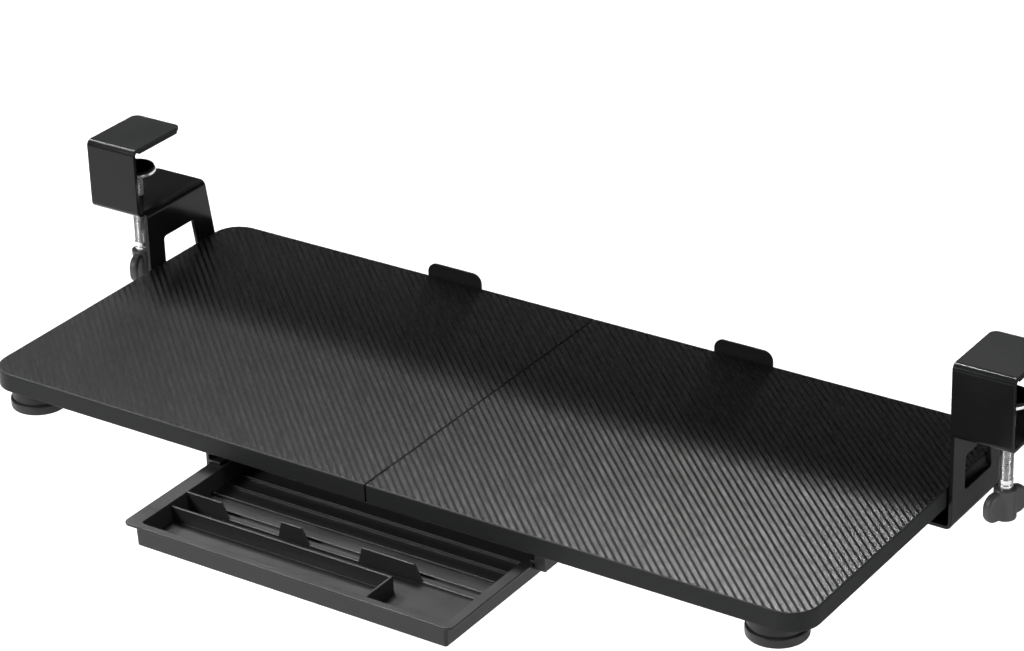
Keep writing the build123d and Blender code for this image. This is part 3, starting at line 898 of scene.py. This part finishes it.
@dataclass
class PressureDisc(Sided):
    """The swivelling steel disc and the rubber face on it."""

    disc_radius: float = 16.0
    boss_radius: float = 8.0
    boss_height: float = 4.0
    socket_radius: float = 4.05
    web: float = 2.0
    pad_radius: float = 15.0
    ring_radii: tuple[float, ...] = (4.0, 7.5, 11.0)
    ring_width: float = 1.2
    ring_depth: float = 0.6
    ring_floor_share: float = 0.6
    dish: Point = (1.2, 0.6)
    boss_fillet: float = 0.8
    boss_taper: float = 0.3
    disc_round: float = 0.3
    pad_round: float = 0.2

    def build(self, shop: Workshop) -> None:
        """Builds and shows the disc and its pad."""
        named = self.named
        body = named("pad")
        shop.show(self.disc(), named("swivel_disc"), body, "zinc_steel", named("pressure_disc"))
        shop.show(self.pad(), named("rubber_face"), body, "clamp_rubber", named("pressure_pad"))

    def disc(self) -> Solid:
        """A dished disc with a boss and a blind socket."""
        node = self.named("pressure_disc")
        bottom, top = self.heights("pressure_disc")
        shelf, roof = bottom + self.boss_height, top - self.web
        dish_width, dish_height = self.dish
        points = [(0, top), (self.disc_radius, top), (self.disc_radius, shelf + dish_height),
                  (self.disc_radius - dish_width, shelf), (self.boss_radius + self.boss_fillet, shelf),
                  (self.boss_radius, shelf - self.boss_fillet), (self.boss_radius - self.boss_taper, bottom),
                  (self.socket_radius, bottom), (self.socket_radius, roof), (0, roof)]
        return Solid.lathe(points, 72).rounded(self.disc_round, angle=30.0).set_on(node)

    def pad(self) -> Solid:
        """The rubber face with grip rings."""
        node = self.named("pressure_pad")
        bottom, top = self.heights("pressure_pad")
        half, groove = self.ring_width / 2, top - self.ring_depth
        floor = half * self.ring_floor_share
        points: list[Point] = [(0, bottom), (self.pad_radius, bottom), (self.pad_radius, top)]
        for ring in reversed(self.ring_radii):
            points += [(ring + half, top), (ring + floor, groove), (ring - floor, groove), (ring - half, top)]
        points.append((0, top))
        return Solid.lathe(points, 72).rounded(self.pad_round, angle=60.0).set_on(node)


@dataclass
class ClampScrew(Sided):
    """One zinc-plated clamp screw with a real right-hand thread."""

    pitch: float = 1.5
    crest_radius: float = 5.0
    root_radius: float = 4.12
    crest_flat: float = 0.22
    root_flat: float = 0.3
    tip_radius: float = 4.0
    tip_length: float = 5.0
    collar_radius: float = 5.3
    collar_height: float = 7.5
    collar_groove: float = 0.55
    collar_marks: tuple[float, ...] = (2.6, 3.1, 3.6, 4.1)
    collar_round: float = 0.15
    tip_chamfer: float = 0.6
    steps_per_turn: int = 32

    def build(self, shop: Workshop) -> None:
        """Builds and shows the screw."""
        named = self.named
        shop.show(self.screw(), named("threaded_screw"), named("screw"), "zinc_steel", named("clamp_screw"),
                  sharp=70.0)

    def thread(self, low: float, high: float) -> Solid:
        """The threaded part.

        Args:
            low: Height of its lower end.
            high: Height of its upper end.

        Returns:
            A closed threaded rod about Z.
        """
        solid = Solid()
        mesh = solid.mesh
        flank = (self.pitch - self.crest_flat - self.root_flat) / 2
        crest = self.root_flat + flank
        profile = [(self.root_radius, 0), (self.root_radius, self.root_flat), (self.crest_radius, crest),
                   (self.crest_radius, crest + self.crest_flat), (self.root_radius, self.pitch)]
        start = low - self.pitch
        turns = int((high - low) / self.pitch) + 3
        chain = [mesh.verts.new((radius, 0, start + height)) for radius, height in profile]
        edges = [mesh.edges.new(pair) for pair in zip(chain, chain[1:])]
        steps = self.steps_per_turn * turns
        bmesh.ops.spin(mesh, geom=chain + edges, cent=(0, 0, 0), axis=(0, 0, 1),
                       dvec=(0, 0, self.pitch / self.steps_per_turn), angle=2 * pi * turns, steps=steps,
                       use_merge=False, use_duplicate=False)
        bmesh.ops.remove_doubles(mesh, verts=mesh.verts[:], dist=0.004)
        for height, way in ((low, -1), (high, 1)):
            geometry = mesh.verts[:] + mesh.edges[:] + mesh.faces[:]
            cut = bmesh.ops.bisect_plane(mesh, geom=geometry, dist=0.0001, plane_co=(0, 0, height),
                                         plane_no=(0, 0, way), clear_outer=True)["geom_cut"]
            rim = [item for item in cut if isinstance(item, bmesh.types.BMEdge) and item.is_boundary]
            bmesh.ops.edgeloop_fill(mesh, edges=rim)
        return solid.closed()

    def screw(self) -> Solid:
        """Thread, smooth tip, collar and the end inside the knob."""
        node = self.named("clamp_screw")
        bottom, top = self.heights("clamp_screw")
        knob_top = self.heights("wing_knob")[1]
        shoulder, collar_top = top - self.tip_length, knob_top + self.collar_height
        thread = self.thread(collar_top - 0.6, shoulder)
        outside, lead_top = self.crest_radius + 1, shoulder + 0.42
        thread.kept_inside(Solid.lathe([
            (0, collar_top - 1), (outside, collar_top - 1), (outside, shoulder - 1.0),
            (self.root_radius - 0.4, lead_top), (0, lead_top)], 64))
        core, tip_start = self.root_radius - 0.05, shoulder - 1.5
        tip = Solid.lathe([
            (0, tip_start), (core, tip_start), (core, shoulder - 0.2), (self.tip_radius, shoulder),
            (self.tip_radius, top - self.tip_chamfer), (self.tip_radius - self.tip_chamfer, top),
            (0, top)], 48)
        rim, neck, tail = self.collar_radius, self.collar_radius - self.collar_groove, self.crest_radius - 0.1
        marks = [knob_top + mark for mark in self.collar_marks]
        collar = Solid.lathe([
            (0, bottom), (tail, bottom), (tail, knob_top - 0.1), (rim, knob_top),
            *zip((rim, neck, neck, rim), marks),
            (rim, collar_top - 0.5), (rim - 0.5, collar_top), (0, collar_top)], 64)
        collar.rounded(self.collar_round, angle=30.0)
        return thread.joined(tip).joined(collar).set_on(node)


@dataclass
class WingKnob(Sided):
    """One moulded knob: two lobes that flow into a hub."""

    hub_radius: float = 8.5
    hub_height: float = 24.0
    hub_waist: float = 7.9
    wing_span: float = 39.0
    wing_height: float = 22.5
    wing_drop: float = 1.5
    wing_thickness: float = 8.0
    top_radius: float = 10.0
    bottom_radius: float = 8.0
    edge_round: float = 2.6
    bore_radius: float = 5.0
    bore_depth: float = 18.3
    bore_mouth: float = 0.7
    hub_round: float = 1.2
    skin: float = 0.25
    turns: tuple[float, float] = (103.0, 71.0)
    voxel: float = 0.42

    def build(self, shop: Workshop) -> None:
        """Builds and shows the knob."""
        named = self.named
        shop.show(self.knob(), named("lobed_knob"), named("screw"), "knob_plastic", named("wing_knob"),
                  sharp=50.0)

    def knob(self) -> Solid:
        """Hub and lobes blended into one moulding, with a crisp bore."""
        half = self.wing_span / 2 - self.skin
        top = -self.wing_drop - self.skin
        bottom = -self.wing_drop - self.wing_height + self.skin
        corners = [(-half, bottom), (half, bottom), (half, top), (-half, top)]
        radii = [self.bottom_radius, self.bottom_radius, self.top_radius, self.top_radius]
        thick = self.wing_thickness / 2 - self.skin
        wing = Solid.prism(corners, -thick, thick, Axis.Y, radii, 12).rounded(self.edge_round, 5, 60.0)
        hub = Solid.lathe([(0, -self.hub_height), (self.hub_radius, -self.hub_height),
                           (self.hub_waist, -self.hub_height / 2), (self.hub_radius, 0), (0, 0)], 72)
        hub.rounded(self.hub_round, 4, 60.0)
        knob = wing.united(hub).remeshed(self.voxel).smoothed(3)
        mouth = self.bore_radius + self.bore_mouth
        knob.cut(Solid.lathe([
            (0, -self.bore_depth), (self.bore_radius, -self.bore_depth), (self.bore_radius, -0.5),
            (mouth, 0.2), (mouth, 2), (0, 2)], 64))
        turn = self.turns[0] if self.side is Side.LEFT else self.turns[1]
        top_of_knob = self.heights("wing_knob")[1]
        return knob.turned(turn).set_on(self.named("clamp_screw"), top_of_knob)


@dataclass
class Board(Sided):
    """One of the two boards: twill laminate on top, black band round its edges and backing below."""

    seam_gap: float = 0.72
    seam_depth: float = 3.0
    seam_round: float = 0.18

    def build(self, shop: Workshop) -> None:
        """Builds and shows the board."""
        node = self.named("board")
        low, high = ends_of(node)
        board = Solid.copy_of(node)
        way = self.side.value
        near, far = sorted((-way, way * self.seam_gap))
        board.cut(Solid.block((near, low.y - 1, high.z - self.seam_depth), (far, high.y + 1, high.z + 1)))
        board.cut(Solid.block((near, low.y - 1, low.z - 1), (far, low.y + self.seam_depth, high.z + 1)))

        def at_seam(edge: bmesh.types.BMEdge) -> bool:
            """Whether an edge is a lip of the seam's slot."""
            return all(abs(abs(v.co.x) - self.seam_gap) < 0.01
                       and (v.co.z > high.z - 0.1 or v.co.y < low.y + 0.1) for v in edge.verts)

        board.rounded(self.seam_round, 2, 60.0, at_seam)
        for face in board.mesh.faces:
            on_top = face.normal.z > 0.9999 and face.calc_center_median().z > high.z - 0.1
            face.material_index = 0 if on_top else 1
        shop.show(board, self.named("laminated_board"), "tray", "carbon_look_board", node,
                  second=shop.edge_band)


@dataclass
class TrayFoot(Sided):
    """One round rubber foot under a front corner."""

    disc_radius: float = 21.9
    height: float = 15.6
    disc_height: float = 7.4
    groove_height: float = 1.4
    groove_radius: float = 19.6
    neck_radius: float = 20.6
    top_radius: float = 19.2
    hole_radius: float = 1.85
    recess_radius: float = 5.0
    recess_depth: float = 6.0
    disc_round: float = 1.3
    groove_round: float = 0.25

    def build(self, shop: Workshop) -> None:
        """Builds and shows the foot."""
        shelf = self.disc_height - self.height
        groove_top = shelf + self.groove_height
        points = [(self.hole_radius, 0), (self.top_radius, 0), (self.neck_radius, groove_top),
                  (self.groove_radius, groove_top), (self.groove_radius, shelf), (self.disc_radius, shelf),
                  (self.disc_radius, -self.height), (self.recess_radius, -self.height),
                  (self.recess_radius, self.recess_depth - self.height),
                  (self.hole_radius, self.recess_depth - self.height)]
        foot = Solid.lathe(points, 96, looped=True)
        foot.rounded(self.disc_round, 4, 60.0, lambda edge: all(
            v.co.xy.length > self.disc_radius - 0.1 for v in edge.verts))
        foot.rounded(self.groove_round, 2, 60.0, lambda edge: all(
            v.co.xy.length > self.recess_radius - 0.1 and v.co.z > shelf - 0.1 for v in edge.verts))
        node = self.named("foot")
        foot.set_on(node, self.heights("foot")[1])
        shop.show(foot, self.named("grooved_foot"), "tray", "foot_rubber", node)


@dataclass
class SlideUnit(Sided):
    """One slide: a channel on the bracket, a lined run and a rail under the tray."""

    edge_round: float = 0.25

    def build(self, shop: Workshop) -> None:
        """Builds and shows the slide's pieces."""
        named = self.named
        rows = (("slide_channel", "formed_channel", "desk_clamps", "slide_steel"),
                ("glide_liner", "glide_insert", "desk_clamps", "glide_plastic"),
                ("slide_rail", "formed_rail", "tray", "slide_steel"))
        for node, name, body, slot in rows:
            shop.ease(named(node), named(name), body, slot, self.edge_round)


@dataclass
class SteelPlates:
    """Rear stops, joiner plates and the rails' end bumpers."""

    plate_round: float = 0.35
    bumper_round: float = 0.8

    def build(self, shop: Workshop) -> None:
        """Builds and shows the plates and bumpers."""
        for side in Side:
            shop.ease(side.named("rear_stop"), side.named("bent_stop"), "tray", "plate_steel",
                      self.plate_round, 3)
        for node in ("front_joiner_plate", "rear_joiner_plate"):
            shop.ease(node, node + "_eased", "tray", "plate_steel", self.plate_round, 3)
        shop.ease("rail_bumpers", "soft_bumpers", "tray", "foot_rubber", self.bumper_round, 3)


@dataclass
class DrawerRunner(Sided):
    """One moulded runner for the drawer's rim."""

    edge_round: float = 0.3

    def build(self, shop: Workshop) -> None:
        """Builds and shows the runner."""
        named = self.named
        shop.ease(named("drawer_runner"), named("moulded_runner"), "tray", "runner_plastic", self.edge_round)


@dataclass
class Drawer:
    """The shallow drawer: a thin moulding with dividers, tabs and floor ribs."""

    edge_round: float = 0.5

    def build(self, shop: Workshop) -> None:
        """Builds and shows the drawer."""
        shop.ease("drawer", "moulded_drawer", "drawer", "drawer_plastic", self.edge_round)


@dataclass
class Fasteners:
    """Every screw: a domed head with a cross recess on a plain shank."""

    wood: tuple[float, float, float] = (3.2, 2.0, 1.75)  # Head radius, head height, shank radius.
    machine: tuple[float, float, float] = (3.5, 2.2, 2.0)
    dome: tuple[Point, ...] = ((0.45, 0.96), (0.78, 0.76), (0.95, 0.42))  # Shares of the head.
    turn_step: float = 37.0
    recess_width: float = 0.9
    recess_reach_share: float = 0.62
    recess_depth: float = 1.2

    def build(self, shop: Workshop) -> None:
        """Builds and shows each group of screws, and dresses the dowels."""
        for place in ("channel", "rail", "stop", "runner", "foot", "joiner"):
            sizes, body = (self.machine, "desk_clamps") if place == "channel" else (self.wood, "tray")
            node = place + "_screws"
            shop.show(self.group(node, *sizes), "cross_head_" + node, body, "screw_steel", node)
        shop.dress("seam_dowels", "dowel_wood")

    def screw(self, head_radius: float, head_height: float, shank_radius: float, length: float) -> Solid:
        """One screw, driven upwards, with its head under height zero."""
        points = [(0, -head_height), *((head_radius * out, -head_height * down) for out, down in self.dome),
                  (head_radius, -0.25), (head_radius - 0.2, 0), (shank_radius, 0),
                  (shank_radius, length - 0.8), (shank_radius * 0.6, length), (0, length)]
        screw = Solid.lathe(points, 28)
        reach = head_radius * self.recess_reach_share
        half = self.recess_width / 2
        low = -head_height - 0.5
        high = self.recess_depth - head_height
        cross = Solid.block((-reach, -half, low), (reach, half, high))
        cross.united(Solid.block((-half, -reach, low), (half, reach, high)))
        return screw.cut(cross)

    def group(self, node: str, head_radius: float, head_height: float, shank_radius: float) -> Solid:
        """The screws of one CAD node, each in its place."""
        places = Solid.copy_of(node)  # Named, so that its vertices last as long as the loop.
        group = Solid()
        for number, island in enumerate(places.islands()):
            xs, ys, zs = ([vert.co[axis] for vert in island] for axis in range(3))
            length = max(zs) - min(zs) - head_height
            screw = self.screw(head_radius, head_height, shank_radius, length).turned(number * self.turn_step)
            middle = ((min(xs) + max(xs)) / 2, (min(ys) + max(ys)) / 2, min(zs) + head_height)
            group.joined(screw.moved(middle))
        return group


# Studio

@dataclass
class Studio:
    """Camera, floor, lamps and two slabs that the camera doesn't see, which shade the tray's rear."""

    camera_place: tuple[float, float, float] = (1266.2, -1855.8, 1067.0)
    camera_turn: tuple[float, float, float] = (1.975, 0.5772, -0.3954)
    focal_share: float = 3422.3261 / 1024
    sensor: float = 36.0
    floor_height: float = -720.0
    floor_size: float = 40000.0
    slab_low: tuple[float, float, float] = (-620.0, 2.0, -24.0)
    slab_high: tuple[float, float, float] = (620.0, 640.0, -1.0)
    leg_low: tuple[float, float, float] = (392.0, 125.0, -400.0)
    leg_high: tuple[float, float, float] = (640.0, 640.0, -25.0)
    slab_tone: float = 0.26
    leg_glow: float = 0.26
    surround: float = 0.16
    aim: tuple[float, float, float] = (0.0, -60.0, -100.0)

    def build(self) -> None:
        """Sets up everything round the object."""
        self.camera()
        self.floor()
        self.slabs()
        self.world(self.surround)
        self.lamp("key_panel", -77.7, 41.5, 4000.0, (1330.0, 480.0), 130.0)
        self.lamp("top_panel", -53.0, 60.0, 3000.0, (180.0, 1200.0), 100.0)
        self.lamp("front_panel", -147.0, 27.0, 3000.0, (900.0, 600.0), 42.0)
        self.lamp("side_strip", 95.0, 8.0, 3000.0, (500.0, 1400.0), 20.0)
        self.lamp("back_glow", -22.0, 32.0, 3000.0, (800.0, 600.0), 0.6)
        bpy.context.scene.view_settings.view_transform = "Standard"

    def camera(self) -> None:
        """The camera, as solved from the photograph's straight edges."""
        turn = Vector(self.camera_turn)
        right, down, ahead = Matrix.Rotation(turn.length, 3, turn.normalized())
        basis = Matrix((right, -down, -ahead)).transposed().to_4x4()
        basis.translation = Vector(self.camera_place) * MM
        data = bpy.data.cameras.new("view")
        data.sensor_width = self.sensor
        data.lens = self.sensor * self.focal_share
        data.clip_end = 100.0
        camera = bpy.data.objects.new("view", data)
        camera.matrix_world = basis
        bpy.context.scene.collection.objects.link(camera)
        bpy.context.scene.camera = camera

    def panel_material(self, name: str, tone: float, glow: float) -> bpy.types.Material:
        """Plain matt paint that gets lighter only as the camera, mirrors and glass see it."""
        graph = Graph(name)
        path = graph.node("ShaderNodeLightPath").outputs
        seen = Value(graph, path["Is Camera Ray"]) + Value(graph, path["Is Glossy Ray"])
        seen = (seen + Value(graph, path["Is Transmission Ray"])).smaller(1.0)
        speck = graph.noise(400.0)
        color = graph.greys(speck, tone, 1.0, 1.01)
        paint = graph.node("ShaderNodeBsdfDiffuse", None, {"Color": color})
        light = graph.node("ShaderNodeEmission", None, {"Color": (1, 1, 1, 1), "Strength": seen * glow})
        both = graph.node("ShaderNodeAddShader", None, {0: paint.outputs[0], 1: light.outputs[0]})
        graph.node("ShaderNodeOutputMaterial", None, {"Surface": both.outputs[0]})
        return graph.material

    def floor(self) -> None:
        """A wide pale floor."""
        mesh = bmesh.new()
        bmesh.ops.create_grid(mesh, x_segments=1, y_segments=1, size=self.floor_size * MM / 2)
        bmesh.ops.translate(mesh, vec=(0, 0, self.floor_height * MM), verts=mesh.verts[:])
        self.stage_piece("floor", mesh, self.panel_material("floor_paint", 0.5, 0.6))

    def slabs(self) -> None:
        """The slabs over and beside the tray, which shade it and are mirrored in it."""
        for name, low, high, glow in (("desk_shade", self.slab_low, self.slab_high, 0.0),
                                      ("desk_leg", self.leg_low, self.leg_high, self.leg_glow)):
            mesh = Solid.block([v * MM for v in low], [v * MM for v in high]).mesh
            paint = self.panel_material(name + "_paint", self.slab_tone, glow)
            self.stage_piece(name, mesh, paint).visible_camera = False

    def stage_piece(self, name: str, mesh: bmesh.types.BMesh,
                    material: bpy.types.Material) -> bpy.types.Object:
        """Puts a piece of the stage in the scene."""
        data = bpy.data.meshes.new(name)
        mesh.to_mesh(data)
        mesh.free()
        data.materials.append(material)
        piece = bpy.data.objects.new(name, data)
        bpy.context.scene.collection.objects.link(piece)
        return piece

    def world(self, strength: float) -> None:
        """A plain grey surround."""
        world = bpy.data.worlds.new("surround")
        bpy.context.scene.world = world
        world.use_nodes = True
        soft = world.node_tree.nodes["Background"]
        soft.inputs["Color"].default_value = (1, 1, 1, 1)
        soft.inputs["Strength"].default_value = strength

    def lamp(self, name: str, azimuth: float, elevation: float, distance: float,
             size: tuple[float, float], power: float) -> None:
        """A large soft lamp aimed at the tray.

        Args:
            name: The lamp's name.
            azimuth: Degrees to the right of straight behind the tray.
            elevation: Degrees above it.
            distance: Its distance from the tray.
            size: Its width and height.
            power: Its power in watts.
        """
        data = bpy.data.lights.new(name, "AREA")
        data.shape = "RECTANGLE"
        data.size, data.size_y = size[0] * MM, size[1] * MM
        data.energy = power
        around, up = radians(azimuth), radians(elevation)
        way = Vector((sin(around) * cos(up), cos(around) * cos(up), sin(up)))
        lamp = bpy.data.objects.new(name, data)
        lamp.location = (Vector(self.aim) + way * distance) * MM
        lamp.rotation_euler = way.to_track_quat("Z", "Y").to_euler()
        lamp.visible_camera = False
        bpy.context.scene.collection.objects.link(lamp)


def main() -> None:
    """Builds the pieces in order, then the studio."""
    logging.basicConfig(level=logging.INFO, format="%(message)s")
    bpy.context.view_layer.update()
    shop = Workshop()
    for side in Side:
        for piece in (ClampBracket(side), PressureDisc(side), ClampScrew(side), WingKnob(side), Board(side),
                      TrayFoot(side), SlideUnit(side), DrawerRunner(side)):
            piece.build(shop)
    for group in (SteelPlates(), Drawer(), Fasteners()):
        group.build(shop)
    Studio().build()
    bpy.context.view_layer.update()


if __name__ == "__main__":
    main()
